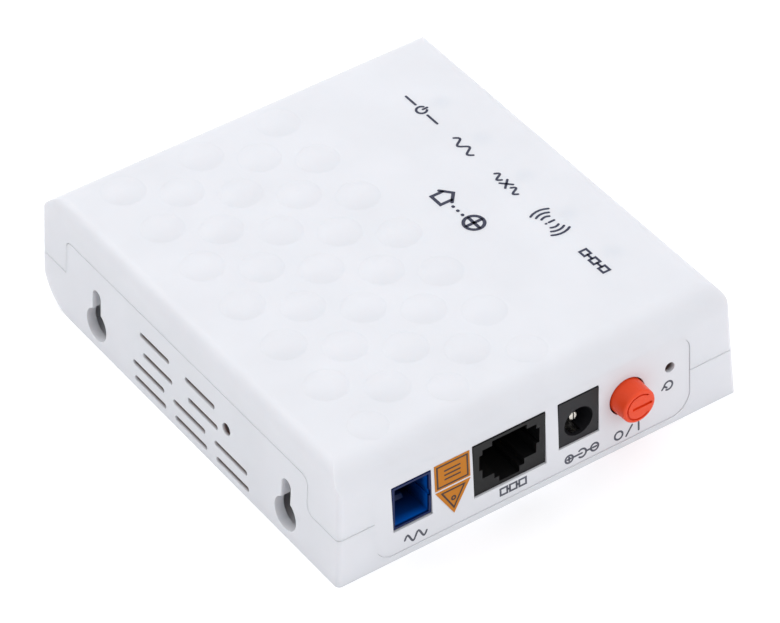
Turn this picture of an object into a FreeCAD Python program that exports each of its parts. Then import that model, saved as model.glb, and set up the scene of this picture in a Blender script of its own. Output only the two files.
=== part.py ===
import FreeCAD, Part
import itertools
import math
import os
import re
import Sketcher
from FreeCAD import Placement, Rotation, Vector

# A small optical network terminal: a flat white box with a fibre port, a LAN port, a power inlet,
# a latching power button and a reset pinhole in its front, and vents and keyholes in its left side.
# Millimetres. +Z is up, the ports face -Y, +X is to the right of someone who looks at the ports,
# and the origin is the middle of the footprint, on the surface that the box stands on.
# The board hangs from the upper cover with its connectors on its underside.

doc = FreeCAD.newDocument("optical_network_terminal")
sheet = doc.addObject("Spreadsheet::Sheet", "sizes")
aliases = []

CASE = {
    "case_width": 90, "case_depth": 100, "case_height": 24.7,
    "side_slope": 0.069, "front_slope": 0.053,
    "wall": 2.0, "floor_thick": 1.1, "roof_thick": 1.8,
    "corner_radius": 1.0, "side_top_radius": 3.0,
    "front_top_radius": 6.0, "rear_top_radius": 6.0, "rear_bottom_radius": 9.5,
    "seam_level": 10.5, "seam_gap": 0.14,
    "tab_top": 18.15, "tab_front": 39.5, "tab_rear": 41.4,
    "tab_front_radius": 2.0, "tab_rear_radius": 1.8, "tab_foot_radius": 2.2,
    "lip_thick": 0.85, "lip_rise": 1.6, "lip_root": 2.2, "lip_play": 0.1, "lip_reach": 35.0,
    "label_length": 48, "label_width": 30, "label_middle": 19, "label_thick": 0.15, "label_recess": 0.25,
}
DOMES = {
    "lattice_pitch": 13.5, "dome_first_column": -31.1, "dome_column_pitch": 8.74,
    "dome_radius": 4.2, "dome_rise": 0.8, "dome_settling": 0.8, "dome_root": 0.5, "dome_blend": 1.0,
    "window_column": 32.75, "tube_radius": 2.5, "tube_bore": 1.8,
    "tube_foot": 20.2, "window_skin": 0.7,
}
LEFT_WALL = {
    "vent_height": 1.2, "upper_vent_length": 10.0, "upper_vent_rear": 10.6, "upper_vent_pitch": 15.25,
    "upper_vent_level": 13.28, "upper_vent_drop": 4.08, "upper_vent_shift": 1.15,
    "lower_vent_length": 10.8, "lower_vent_rear": 12.45, "lower_vent_pitch": 13.85,
    "lower_vent_level": 5.45, "lower_vent_drop": 3.33, "lower_vent_shift": 0.73,
    "test_hole_place": -13.55, "test_hole_level": 11.05, "test_hole_radius": 1.3,
    "keyhole_middle": -1.2, "keyhole_spacing": 63.6, "keyhole_level": 5.2, "keyhole_radius": 3.45,
    "keyhole_slot_radius": 1.45, "keyhole_slot_level": 11.8,
    "vent_wall": 0.9, "vent_zone_front": -23.5, "vent_zone_rear": 20.0,
    "vent_zone_low": 1.25, "vent_zone_high": 15.8,
}
PANEL = {
    "panel_left": -36.3, "panel_right": 34.2, "panel_bottom": 1.35, "panel_top": 18.85,
    "panel_left_top_radius": 4.0, "panel_right_top_radius": 3.0,
    "panel_right_bottom_radius": 4.5, "panel_left_bottom_radius": 3.5,
    "panel_recess": 0.2, "panel_play": 0.05,
    "flange_border": 0.6, "flange_thick": 0.8, "flange_start": 2.2,
    "sticker_thick": 0.1, "sticker_left": -23.1, "sticker_right": -15.4,
    "sticker_top": 16.9, "sticker_split_upper": 11.0, "sticker_split_lower": 10.55,
    "sticker_tip": 4.2,
}
BOARD = {
    "board_bottom": 17.1, "board_thick": 1.6, "board_half_width": 41.0,
    "board_front": 45.8, "board_rear": 45.8, "notch_width": 6.2, "notch_depth": 10.2,
    "board_screw_x": 37.4, "board_screw_front": -20.0, "board_screw_rear": 28.0,
    "board_hole_radius": 1.3, "board_post_radius": 2.1, "board_pilot_radius": 1.05,
    "board_screw_head_radius": 2.0, "board_screw_head": 1.2, "board_screw_radius": 0.95,
    "board_screw_length": 5.6,
    "case_screw_x": 38.3, "case_screw_y": 39.0, "case_post_radius": 2.7, "case_post_foot": 9.3,
    "case_pilot_radius": 1.3, "case_pilot_depth": 7.0, "boss_radius": 3.6, "boss_top": 9.0,
    "boss_hole_radius": 1.5, "counterbore_radius": 2.6, "counterbore_depth": 2.8,
    "case_screw_head_radius": 2.3, "case_screw_head": 1.7, "case_screw_radius": 1.2,
    "case_screw_length": 13.5, "recess_arm": 1.3, "recess_width": 0.5, "recess_depth": 0.8,
    "led_length": 2.0, "led_width": 1.25, "led_height": 0.8,
}
FIBRE = {
    "fibre_x": -28.1, "fibre_level": 11.5, "fibre_opening_width": 8.6, "fibre_opening_height": 10.4,
    "receptacle_width": 8.4, "receptacle_height": 9.96, "receptacle_front": 49.1,
    "receptacle_length": 15.3, "receptacle_side_wall": 0.5, "receptacle_end_wall": 0.45,
    "receptacle_back_wall": 1.6, "standoff_setback": 4.2, "keyway_height": 1.5, "keyway_depth": 6.0,
    "keyway_skin": 0.2,
    "barrel_radius": 2.1, "barrel_bore": 1.65, "barrel_front": 41.5, "barrel_hole_radius": 2.15,
    "sleeve_radius": 1.6, "sleeve_bore": 1.25, "sleeve_length": 7.0, "sleeve_slit": 0.3,
    "latch_width": 3.2, "latch_thick": 0.6, "latch_offset": 4.0, "latch_tip": 43.8,
    "optics_block": 6.6, "optics_length": 8.0, "can_radius": 2.3, "can_flange": 2.7,
    "can_length": 4.5, "can_flange_thick": 0.5, "lead_spread": 0.9, "lead_size": 0.4,
    "lead_run": 2.5, "lead_step": 0.8, "hook_drop": 0.55,
}
LAN = {
    "lan_x": -6.65, "lan_opening_width": 16.2, "lan_opening_bottom": 5.0, "lan_opening_top": 17.3,
    "lan_width": 16.0, "lan_bottom": 5.1, "lan_front": 49.15, "lan_length": 18.0,
    "lan_cavity_depth": 14.4, "lan_half": 6.0, "lan_floor": 8.5, "lan_ceiling": 15.4,
    "lan_bump_half": 6.7, "lan_bump_low": 10.7, "lan_bump_high": 14.3,
    "lan_notch_half": 3.85, "lan_notch_top": 16.5,
    "lan_step_half": 3.35, "lan_step_low": 7.2, "lan_latch_half": 2.25, "lan_latch_low": 5.9,
    "contact_pitch": 1.02, "contact_width": 0.4, "contact_thick": 0.3, "contact_level": 16.1,
    "contact_slot": 0.56, "contact_bend": 46.1, "contact_end": 38.3, "contact_end_level": 13.1,
    "contact_tail": 30.85,
}
POWER = {
    "inlet_x": 8.85, "inlet_level": 11.1, "inlet_opening_width": 9.2,
    "inlet_opening_bottom": 6.5, "inlet_width": 9.0, "inlet_bottom": 6.6, "inlet_front": 49.15,
    "inlet_length": 14.0, "inlet_bore": 3.2, "inlet_bore_depth": 10.5,
    "inlet_channel_half": 1.1, "inlet_channel_low": 7.4,
    "pin_radius": 0.98, "pin_play": 0.03, "pin_front": 47.6, "pin_slit": 0.28,
    "pin_slit_depth": 3.5, "pin_tip_round": 0.4,
    "leaf_width": 1.8, "leaf_thick": 0.25, "lug_width": 2.4, "lug_thick": 0.3,
}
SWITCH = {
    "button_x": 19.9, "button_level": 11.45, "button_hole": 4.05,
    "cap_protrusion": 3.8, "cap_tip_radius": 3.6, "cap_root_radius": 3.85, "cap_length": 7.6,
    "cap_round": 0.5, "mark_radius": 2.75, "mark_width": 0.36, "mark_depth": 0.35,
    "mark_gap": 3.9, "bar_left": 1.6, "bar_right": 2.8, "bar_height": 0.65,
    "stem_size": 3.0, "stem_play": 0.06, "stem_front": 50.8, "stem_rear": 38.0,
    "stem_seat_radius": 0.7, "stem_seat_length": 2.2,
    "body_size": 8.5, "body_height": 9.0, "body_front": 42.3, "body_rear": 28.8,
    "body_bore": 3.5, "body_bore_end": 31.1,
    "frame_thick": 0.35, "frame_hole": 3.9, "frame_rear": 35.8, "frame_margin": 1.2,
    "coil_radius": 1.15, "coil_wire": 0.15, "coil_pitch": 0.95,
    "switch_pin_pitch": 3.0, "switch_pin_size": 0.6,
}
RESET = {
    "reset_x": 29.7, "reset_level": 13.25, "pinhole_radius": 1.1,
    "reset_width": 6.0, "reset_height": 6.0, "reset_front": 43.3, "reset_rear": 40.1,
    "reset_bore": 1.7, "reset_bore_end": 41.35, "plunger_radius": 1.6,
    "plunger_front": 45.1, "plunger_rear": 41.8, "reset_frame_thick": 0.25,
    "snap_radius": 1.55, "snap_top_radius": 0.5, "snap_rise": 0.4, "snap_thick": 0.08, "snap_play": 0.02,
}
SINK = {
    "sink_size": 22.0, "sink_base": 1.5, "sink_fin_height": 6.0, "sink_fin_thick": 1.0,
    "sink_gap": 2.0,
}

# Boxes that hang from the underside of the board: place of the middle, length along X, length
# along Y and height.
HANGING = {
    "processor_chip": (-2.0, 8.0, 14.0, 14.0, 1.2),
    "memory_chip": (18.0, 8.0, 8.0, 12.5, 1.1),
    "flash_chip": (-22.0, 12.0, 6.0, 5.0, 1.5),
    "laser_driver_chip": (-29.0, -8.0, 5.0, 5.0, 0.9),
    "crystal_can": (-20.0, 0.0, 11.0, 4.5, 3.4),
    "lan_transformer": (-7.2, -25.0, 12.7, 7.6, 5.8),
}
REGULATOR_PLACES = ((22.0, -17.0), (14.0, -15.0), (31.0, -14.0))
INDUCTOR_PLACES = ((8.0, -31.0), (17.0, -25.0))
CAPACITOR_PLACES = ((28.5, -36.5), (28.5, -28.0), (8.5, -21.0))


def add_sizes(sizes):
    """Gives each value a named cell in the sheet."""
    for name, value in sizes.items():
        row = len(aliases) + 1
        sheet.set(f"A{row}", name.replace("_", " "))
        sheet.set(f"B{row}", str(value))
        sheet.setAlias(f"B{row}", name)
        aliases.append(name)


for group in (CASE, DOMES, LEFT_WALL, PANEL, BOARD, FIBRE, LAN, POWER, SWITCH, RESET, SINK):
    add_sizes(group)
for part_name, values in HANGING.items():
    fields = ("x", "y", "length", "width", "height")
    add_sizes({f"{part_name}_{field}": value for field, value in zip(fields, values)})
add_sizes({"regulator_length": 5.0, "regulator_width": 4.0, "regulator_height": 1.5})
add_sizes({"inductor_size": 6.0, "inductor_height": 3.0, "inductor_round": 1.5})
add_sizes({"capacitor_radius": 3.15, "capacitor_height": 7.5, "capacitor_round": 0.5})
add_sizes({"ceramic_length": 2.0, "ceramic_width": 1.25, "ceramic_height": 0.9})
add_sizes({"pad_thick": 0.5})
doc.recompute()


# ---------------------------------------------------------------- helpers

def linked(text):
    """Turns the names in a formula into references to the sheet's cells."""
    def reference(match):
        word = match.group()
        return f"sizes.{word}" if word in aliases else word
    return re.sub(r"[a-z_]+", reference, str(text))


def bind(item, prop, formula):
    item.setExpression(prop, linked(formula))


def size(formula):
    """The value of a formula of the sheet's names."""
    return float(sheet.evalExpression(re.sub(r"sizes\.", "", linked(formula))))


def around(middle, length):
    return f"({middle}) - ({length}) / 2", f"({middle}) + ({length}) / 2"


def box(name, x, y, z):
    """A block between a low and a high formula along each axis."""
    block = doc.addObject("Part::Box", name)
    for axis, edge, (low, high) in zip("xyz", ("Length", "Width", "Height"), (x, y, z)):
        bind(block, edge, f"({high}) - ({low})")
        bind(block, f"Placement.Base.{axis}", low)
    return block


AXIS_TURNS = {
    "x": Rotation(Vector(0, 1, 0), 90),
    "y": Rotation(Vector(1, 0, 0), -90),
    "z": Rotation(),
}


def lay(item, axis, start):
    """Points a round solid along an axis, from the start."""
    item.Placement = Placement(Vector(), AXIS_TURNS[axis])
    for letter, formula in zip("xyz", start):
        bind(item, f"Placement.Base.{letter}", formula)
    return item


def cylinder(name, axis, start, radius, length):
    rod = doc.addObject("Part::Cylinder", name)
    bind(rod, "Radius", radius)
    bind(rod, "Height", length)
    return lay(rod, axis, start)


def cone(name, axis, start, first_radius, last_radius, length):
    taper = doc.addObject("Part::Cone", name)
    bind(taper, "Radius1", first_radius)
    bind(taper, "Radius2", last_radius)
    bind(taper, "Height", length)
    return lay(taper, axis, start)


def fuse(name, shapes):
    joined = doc.addObject("Part::MultiFuse", name)
    joined.Shapes = list(shapes)
    joined.Refine = True
    return joined


def common(name, shapes):
    shared = doc.addObject("Part::MultiCommon", name)
    shared.Shapes = list(shapes)
    return shared


def cut(name, base, tools):
    """Takes the tools away from the base."""
    result = doc.addObject("Part::Cut", name)
    result.Base = base
    result.Tool = tools[0] if len(tools) == 1 else fuse(f"{name}_tools", tools)
    result.Refine = True
    return result


def compound(name, shapes):
    group = doc.addObject("Part::Compound", name)
    group.Links = list(shapes)
    return group


def scatter(name, master, places):
    """Copies of one solid, moved to each place, as a group of separate solids."""
    doc.recompute()
    group = doc.addObject("Part::Feature", name)
    group.Shape = Part.makeCompound([master.Shape.translated(Vector(*place)) for place in places])
    return group


def fillet_edges(name, base, radius_of):
    """Rounds each edge for which radius_of gives a radius."""
    doc.recompute()
    rounded = doc.addObject("Part::Fillet", name)
    rounded.Base = base
    chosen = []
    for number, edge in enumerate(base.Shape.Edges, 1):
        radius = radius_of(edge)
        if radius:
            chosen.append((number, radius, radius))
    rounded.Edges = chosen
    return rounded


def round_along(name, block, axis, radii):
    """Rounds the edges of a block that run along one axis. radii is one formula, or one for each
    corner, found by the signs of its two other coordinates."""
    doc.recompute()
    middle = block.Shape.BoundBox.Center
    others = [index for index in range(3) if "xyz"[index] != axis]
    direction = Vector(*[1.0 if letter == axis else 0.0 for letter in "xyz"])

    def radius_of(edge):
        if abs(edge.tangentAt(edge.FirstParameter).dot(direction)) < 0.5:
            return None
        offset = edge.CenterOfMass - middle
        signs = tuple(1 if offset[index] > 0 else -1 for index in others)
        formula = radii.get(signs) if isinstance(radii, dict) else radii
        return size(formula) if formula else None

    return fillet_edges(name, block, radius_of)


def rounded_box(name, x, y, z, axis, radii):
    return round_along(name, box(f"{name}_block", x, y, z), axis, radii)


def strip_solid(points, thick, width, middle, axis="x"):
    """A strip of sheet metal bent along the points, its width centred on middle along the axis."""
    path = [Vector(a, b, 0) for a, b in points]
    sides = ([], [])
    for index, point in enumerate(path):
        before = (point - path[index - 1]).normalize() if index else None
        after = (path[index + 1] - point).normalize() if index < len(path) - 1 else None
        along = (before or after) + (after or before)
        along.normalize()
        across = Vector(-along.y, along.x, 0)
        reach = thick / 2 / max(0.4, abs(along.dot(after or before)))
        sides[0].append(point + across * reach)
        sides[1].append(point - across * reach)
    corners = sides[0] + sides[1][::-1]
    start = middle - width / 2
    if axis == "x":
        outline = [Vector(start, point.x, point.y) for point in corners]
        push = Vector(width, 0, 0)
    else:
        outline = [Vector(point.x, start, point.y) for point in corners]
        push = Vector(0, width, 0)
    face = Part.Face(Part.makePolygon(outline + outline[:1]))
    return face.extrude(push)


def feature(name, shape):
    item = doc.addObject("Part::Feature", name)
    item.Shape = shape
    return item


def plane_of(body, role):
    return next(item for item in body.Origin.OriginFeatures if item.Role == role)


def sketch_on(body, name, role, offset="0"):
    """A sketch on one of the body's own planes, moved along the plane's normal."""
    sketch = body.newObject("Sketcher::SketchObject", name)
    sketch.AttachmentSupport = [(plane_of(body, role), "")]
    sketch.MapMode = "FlatFace"
    bind(sketch, "AttachmentOffset.Base.z", offset)
    return sketch


def hold(sketch, kind, where, formula):
    """A dimension of the sketch that follows the sheet."""
    number = sketch.addConstraint(Sketcher.Constraint(kind, *where, size(formula)))
    bind(sketch, f"Constraints[{number}]", formula)


def outline(sketch, points):
    """A closed outline of straight lines through the points, each a pair of formulas."""
    corners = [Vector(size(a), size(b), 0) for a, b in points]
    first = sketch.GeometryCount
    for index, corner in enumerate(corners):
        sketch.addGeometry(Part.LineSegment(corner, corners[(index + 1) % len(corners)]), False)
    for index, (a, b) in enumerate(points):
        after = (index + 1) % len(points)
        sketch.addConstraint(Sketcher.Constraint("Coincident", first + index, 2, first + after, 1))
        hold(sketch, "DistanceX", (first + index, 1), a)
        hold(sketch, "DistanceY", (first + index, 1), b)


def rectangle(sketch, a, b):
    outline(sketch, [(a[0], b[0]), (a[1], b[0]), (a[1], b[1]), (a[0], b[1])])


def circle(sketch, a, b, radius):
    ring = Part.Circle(Vector(size(a), size(b), 0), Vector(0, 0, 1), size(radius))
    number = sketch.addGeometry(ring, False)
    hold(sketch, "DistanceX", (number, 3), a)
    hold(sketch, "DistanceY", (number, 3), b)
    hold(sketch, "Radius", (number,), radius)


def pad(body, name, sketch, length, backwards=False):
    grown = body.newObject("PartDesign::Pad", name)
    grown.Profile = sketch
    grown.Reversed = backwards
    bind(grown, "Length", length)
    doc.recompute()
    return grown


def pocket(body, name, sketch, depth, backwards=False):
    """Cuts the sketch into the body and makes sure that material went."""
    before = body.Shape.Volume
    hollow = body.newObject("PartDesign::Pocket", name)
    hollow.Profile = sketch
    hollow.Reversed = backwards
    bind(hollow, "Length", depth)
    doc.recompute()
    if body.Shape.Volume > before - 1e-6:
        raise RuntimeError(f"{name} cuts nothing")
    return hollow


def revolve(body, name, sketch):
    turned = body.newObject("PartDesign::Revolution", name)
    turned.Profile = sketch
    turned.ReferenceAxis = (sketch, ["V_Axis"])
    turned.Angle = 360
    doc.recompute()
    return turned


def body_fillet(body, name, base, radius_of):
    """Rounds one set of a body's edges with one radius each, chosen by radius_of."""
    wanted = {}
    for number, edge in enumerate(base.Shape.Edges, 1):
        radius = radius_of(edge)
        if radius:
            wanted.setdefault(radius, []).append(f"Edge{number}")
    radius, edges = next(iter(wanted.items()))
    rounded = body.newObject("PartDesign::Fillet", name)
    rounded.Base = (base, edges)
    rounded.Radius = radius
    doc.recompute()
    return rounded


# ---------------------------------------------------------------- case

def leaning_block(name, inset, floor, roof):
    """A block whose sides and front lean inwards as they rise, and whose rear is upright."""
    block = doc.addObject("Part::Wedge", name)
    block.Placement = Placement(Vector(), Rotation(Vector(1, 0, 0), 90))
    ends = {"": floor, "2": f"case_height - {roof}"}
    bind(block, "Ymin", ends[""])
    bind(block, "Ymax", ends["2"])
    for end, level in ends.items():
        half_width = f"case_width / 2 - {inset} - side_slope * ({level})"
        bind(block, f"X{end}min", f"-({half_width})")
        bind(block, f"X{end}max", half_width)
        bind(block, f"Z{end}min", f"-(case_depth / 2 - {inset})")
        bind(block, f"Z{end}max", f"case_depth / 2 - {inset} - front_slope * ({level})")
    return block


def case_form(name, inset, floor, roof):
    """The block of the case, rounded as seen from the side, the front and above. inset, floor and
    roof are how far inside the outer skin it lies."""
    block = leaning_block(f"{name}_block", inset, floor, roof)
    side_radii = {
        (-1, 1): f"front_top_radius - {inset}",
        (1, 1): f"rear_top_radius - {inset}",
        (1, -1): f"rear_bottom_radius - {inset}",
    }
    top_radius = f"side_top_radius - {inset}"
    forms = [
        round_along(f"{name}_side_form", block, "x", side_radii),
        round_along(f"{name}_front_form", block, "y", {(-1, 1): top_radius, (1, 1): top_radius}),
    ]
    if size(f"corner_radius - {inset}") > 0:
        forms.append(round_along(f"{name}_plan_form", block, "z", f"corner_radius - {inset}"))
    return common(name, forms)


def lean_with_front(item):
    """Turns something made for an upright front so that it follows the leaning one."""
    angle = -math.degrees(math.atan(size("front_slope")))
    foot = Vector(0, size("-case_depth / 2"), 0)
    item.Placement = Placement(Vector(), Rotation(Vector(1, 0, 0), angle), foot)
    return item


def tab_zone(name, grow):
    """Where the left wall of the lower case rises past the seam, made larger by grow."""
    tab = rounded_box(
        f"{name}_tab", ("-case_width / 2 - 1", "-case_width / 2 + wall + side_slope * tab_top"),
        (f"-tab_front - {grow}", f"tab_rear + {grow} / 4"), ("seam_level - 1", f"tab_top + {grow}"),
        "x", {(-1, 1): "tab_front_radius", (1, 1): "tab_rear_radius"})
    foot = box(
        f"{name}_foot", ("-case_width / 2 - 1", "-case_width / 2 + wall + side_slope * tab_top"),
        ("-tab_front - tab_foot_radius", "-tab_front + 1"),
        ("seam_level - 1", "seam_level - seam_gap / 2 + tab_foot_radius"))
    foot_round = cylinder(
        f"{name}_foot_round", "x",
        ("-case_width / 2 - 2", "-tab_front - tab_foot_radius",
         "seam_level - seam_gap / 2 + tab_foot_radius"),
        f"tab_foot_radius - {grow}", "wall + 4")
    return fuse(name, [tab, cut(f"{name}_curved_foot", foot, [foot_round])])


def panel_shape(name, y, grow):
    """The outline of the port panel, grown on every side, between two depths."""
    x = (f"panel_left - {grow}", f"panel_right + {grow}")
    z = (f"panel_bottom - {grow}", f"panel_top + {grow}")
    radii = {
        (-1, 1): f"panel_left_top_radius + {grow}", (1, 1): f"panel_right_top_radius + {grow}",
        (1, -1): f"panel_right_bottom_radius + {grow}", (-1, -1): f"panel_left_bottom_radius + {grow}",
    }
    return rounded_box(name, x, y, z, "y", radii)


def panel_opening(name):
    shape = panel_shape(name, ("-case_depth / 2 - 1", "-case_depth / 2 + wall + 0.2"), "panel_play")
    return lean_with_front(shape)


CORNERS = tuple(itertools.product((-1, 1), (-1, 1)))
BOARD_SCREWS = tuple(itertools.product((-1, 1), ("board_screw_front", "board_screw_rear")))


def upper_cover():
    shell = cut("upper_shell", case_form("upper_outside", "0", "0", "0"),
                [case_form("upper_inside", "wall", "floor_thick", "roof_thick")])
    zone = box("upper_zone", ("-case_width", "case_width"), ("-case_depth", "case_depth"),
               ("seam_level + seam_gap / 2", "case_height + 1"))
    skin = common("upper_skin", [shell, zone])
    tubes, bores = [], []
    for number in range(-2, 3):
        place = ("window_column", f"lattice_pitch * {number}")
        tubes.append(cylinder(f"window_tube_{number + 3}", "z", (*place, "tube_foot"),
                              "tube_radius", "case_height - roof_thick - tube_foot + 0.5"))
        bores.append(cylinder(f"window_bore_{number + 3}", "z", (*place, "tube_foot - 1"),
                              "tube_bore", "case_height - window_skin - tube_foot + 1"))
    posts, pilots = [], []
    roof_reach = "case_height - roof_thick + 0.5"
    for number, (side, end) in enumerate(CORNERS, 1):
        place = (f"case_screw_x * {side}", f"case_screw_y * {end}")
        posts.append(cylinder(f"case_post_{number}", "z", (*place, "case_post_foot"),
                              "case_post_radius", f"{roof_reach} - case_post_foot"))
        pilots.append(cylinder(f"case_pilot_{number}", "z", (*place, "case_post_foot - 1"),
                               "case_pilot_radius", "case_pilot_depth + 1"))
    board_top = "board_bottom + board_thick"
    for number, (side, end) in enumerate(BOARD_SCREWS, 1):
        place = (f"board_screw_x * {side}", end)
        posts.append(cylinder(f"board_post_{number}", "z", (*place, board_top),
                              "board_post_radius", f"{roof_reach} - ({board_top})"))
        pilots.append(cylinder(f"board_pilot_{number}", "z", (*place, f"{board_top} - 1"),
                               "board_pilot_radius", f"case_height - roof_thick - ({board_top}) + 1"))
    solid = fuse("upper_solid", [skin, domes(), *tubes, *posts])
    openings = [panel_opening("upper_panel_opening"), tab_zone("upper_tab_zone", "seam_gap")]
    return cut("upper_cover", solid, [*openings, *bores, *pilots])


def domes():
    """Shallow round bumps in staggered columns over the left and middle of the top. Each one is a
    spherical crown with a small hollow blend round its foot. Those that reach over the rounded
    front edge lean forwards, nearly as far as the edge falls away there."""
    radius, rise, blend = size("dome_radius"), size("dome_rise"), size("dome_blend")
    top, root = size("case_height"), size("case_height - dome_root")
    curve = (radius ** 2 + rise ** 2) / (2 * rise)
    reach = math.sqrt((curve + blend) ** 2 - (curve - rise + blend) ** 2)
    crown_centre = Vector(0, 0, top + rise - curve)
    blend_centre = Vector(reach, 0, top + blend)
    tilt = math.asin(reach / (curve + blend))
    outward = Vector(math.sin(tilt / 2), 0, math.cos(tilt / 2))
    join = crown_centre + (blend_centre - crown_centre) * (curve / (curve + blend))
    peak, foot = Vector(0, 0, top + rise), Vector(reach, 0, top)
    profile = Part.Face(Part.Wire([
        Part.Arc(peak, crown_centre + outward * curve, join).toShape(),
        Part.Arc(join, blend_centre - outward * blend, foot).toShape(),
        Part.makeLine(foot, Vector(reach, 0, root)),
        Part.makeLine(Vector(reach, 0, root), Vector(0, 0, root)),
        Part.makeLine(Vector(0, 0, root), peak),
    ]))
    cap = profile.revolve(Vector(), Vector(0, 0, 1), 360)
    round_radius = size("front_top_radius")
    front_edge = size("-case_depth / 2 + front_slope * case_height + front_top_radius")
    caps = []
    for column in range(5):
        count = 7 - column % 2
        for row in range(count):
            x = size(f"dome_first_column + dome_column_pitch * {column}")
            y = size(f"lattice_pitch * ({row} - ({count} - 1) / 2)")
            dome = cap.copy()
            overhang = front_edge - (y - reach)
            if overhang > 0:
                fall = round_radius - math.sqrt(round_radius ** 2 - overhang ** 2)
                sink = size("dome_settling") * fall
                lean = math.degrees(math.asin(sink / (2 * reach)))
                dome.rotate(Vector(0, 0, top), Vector(1, 0, 0), lean)
                dome.translate(Vector(0, 0, -sink / 2))
            dome.translate(Vector(x, y, 0))
            caps.append(dome)
    return feature("domes", Part.makeCompound(caps))


def vent_row(name, count, kind, row):
    """Slots through the left wall, counted from the rear. The second row of a kind lies lower and a
    little further forward."""
    slots = []
    level = f"{kind}_level - {kind}_drop * {row}"
    for number in range(count):
        middle = f"{kind}_rear - {kind}_shift * {row} - {kind}_pitch * {number}"
        slots.append(rounded_box(
            f"{name}_{number + 1}", ("-case_width / 2 - 1", "-case_width / 2 + wall + 2"),
            around(middle, f"{kind}_length"), around(level, "vent_height"),
            "x", "vent_height / 2 - 0.01"))
    return slots


def thin_wall_pocket():
    """What goes from the inner side of the left wall so that it is thin where the vents are."""
    zone = box("vent_zone", ("-case_width", "-case_width / 2 + wall + 2"),
               ("vent_zone_front", "vent_zone_rear"), ("vent_zone_low", "vent_zone_high"))
    return common("vent_pocket", [zone, case_form("vent_inside", "vent_wall", "0", "0")])


def left_wall_openings():
    through = "wall + 3"
    start = "-case_width / 2 - 1"
    tools = vent_row("top_vents", 2, "upper_vent", 0)
    tools += vent_row("second_vents", 2, "upper_vent", 1)
    tools += vent_row("third_vents", 3, "lower_vent", 0)
    tools += vent_row("bottom_vents", 3, "lower_vent", 1)
    tools.append(cylinder("test_hole", "x", (start, "test_hole_place", "test_hole_level"),
                          "test_hole_radius", through))
    for number, end in enumerate((-1, 1), 1):
        y = f"keyhole_middle + keyhole_spacing / 2 * {end}"
        tools.append(cylinder(f"keyhole_{number}_head", "x", (start, y, "keyhole_level"),
                              "keyhole_radius", through))
        tools.append(cylinder(f"keyhole_{number}_end", "x", (start, y, "keyhole_slot_level"),
                              "keyhole_slot_radius", through))
        tools.append(box(f"keyhole_{number}_slot", (start, "-case_width / 2 + wall + 2"),
                         around(y, "2 * keyhole_slot_radius"),
                         ("keyhole_level", "keyhole_slot_level")))
    return tools


def alignment_lips():
    """Thin rails on the lower case that stand inside the walls of the upper cover."""
    low = "seam_level - lip_root"
    right = "case_width / 2 - wall - side_slope * (seam_level + lip_rise)"
    rear = "case_depth / 2 - wall"
    outer = "lip_play + lip_thick"
    return [
        box("right_lip", (f"{right} - ({outer})", f"{right} - lip_play"), ("-lip_reach", "lip_reach"),
            (low, "seam_level + lip_rise")),
        box("right_lip_root", (f"{right} - ({outer})", f"{right} + 0.5"), ("-lip_reach", "lip_reach"),
            (low, "seam_level - 0.5")),
        box("rear_lip", ("-lip_reach", "lip_reach"), (f"{rear} - ({outer})", f"{rear} - lip_play"),
            (low, "seam_level + lip_rise")),
        box("rear_lip_root", ("-lip_reach", "lip_reach"), (f"{rear} - ({outer})", f"{rear} + 0.2"),
            (low, "seam_level - 0.5")),
    ]


def lower_case():
    outside = case_form("lower_outside", "0", "0", "0")
    shell = cut("lower_shell", outside, [case_form("lower_inside", "wall", "floor_thick", "roof_thick")])
    flat_zone = box("lower_zone", ("-case_width", "case_width"), ("-case_depth", "case_depth"),
                    ("-1", "seam_level - seam_gap / 2"))
    zone = fuse("lower_and_tab_zone", [flat_zone, tab_zone("lower_tab_zone", "0")])
    skin = common("lower_skin", [shell, zone])
    bosses, holes = [], []
    for number, (side, end) in enumerate(CORNERS, 1):
        place = (f"case_screw_x * {side}", f"case_screw_y * {end}")
        bosses.append(cylinder(f"boss_{number}", "z", (*place, "floor_thick / 2"),
                               "boss_radius", "boss_top - floor_thick / 2"))
        holes.append(cylinder(f"boss_hole_{number}", "z", (*place, "-1"),
                              "boss_hole_radius", "boss_top + 2"))
        holes.append(cylinder(f"counterbore_{number}", "z", (*place, "-1"),
                              "counterbore_radius", "counterbore_depth + 1"))
    inner_bosses = common("inner_bosses", [fuse("all_bosses", bosses),
                                           case_form("boss_limit", "0", "0", "0")])
    solid = fuse("lower_solid", [skin, inner_bosses, *alignment_lips()])
    recess = box("label_recess", around("0", "label_length + 0.4"),
                 around("label_middle", "label_width + 0.4"), ("-1", "label_recess"))
    opening = panel_opening("lower_panel_opening")
    return cut("lower_case", solid,
               [opening, recess, thin_wall_pocket(), *holes, *left_wall_openings()])


def rating_label():
    return rounded_box("rating_label", around("0", "label_length"),
                       around("label_middle", "label_width"),
                       ("label_recess - label_thick", "label_recess"), "z", "1.5")


# ---------------------------------------------------------------- port panel

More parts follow.
